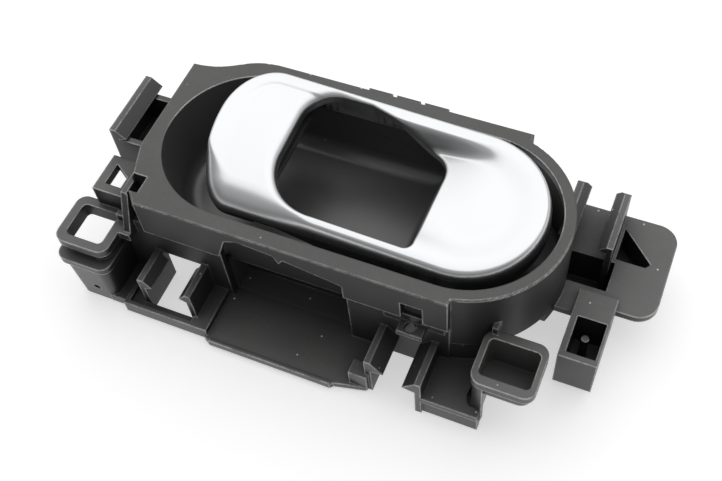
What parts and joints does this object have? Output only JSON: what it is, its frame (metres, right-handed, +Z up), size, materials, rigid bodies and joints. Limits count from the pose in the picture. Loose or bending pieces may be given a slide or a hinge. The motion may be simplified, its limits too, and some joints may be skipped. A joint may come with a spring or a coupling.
{
  "type": "car interior door handle",
  "caption": "Car interior door release: moulded black housing with clips, sockets and a finger bowl, and a satin chrome pull lever with a finger hole, sprung on a cross pin.",
  "frame": {"origin": "centre of the bounding box at its base, the surface the part lies on", "axes": "+X along the handle towards the round pivot end, +Y to the back edge, +Z up out of the flange towards the hand"},
  "size_m": [0.181, 0.0832, 0.0542],
  "materials": {
    "black_moulding": "fine matt grain, dusty, with rubbed edges",
    "satin_chrome": "satin plating on plastic",
    "black_carrier": "smooth moulded",
    "pin_steel": "ground",
    "spring_steel": "drawn wire, oiled",
    "buffer_rubber": "matt"
  },
  "bodies": {
    "base_unit": {"housing": "black_moulding", "pivot_pin": "pin_steel", "return_spring": "spring_steel", "rest_buffer": "buffer_rubber"},
    "lever": {"lever_cover": "satin_chrome", "lever_carrier": "black_carrier"}
  },
  "joints": [
    {"name": "lever_pull", "type": "hinge", "parent": "base_unit", "child": "lever", "pos_m": [0.026, 0.0077, 0.0345], "axis": [0, 1, 0], "range_deg": [0, 28], "stiffness_Nm_per_rad": 0.2, "springref_deg": -40.11, "deforming": ["return_spring"]}
  ]
}
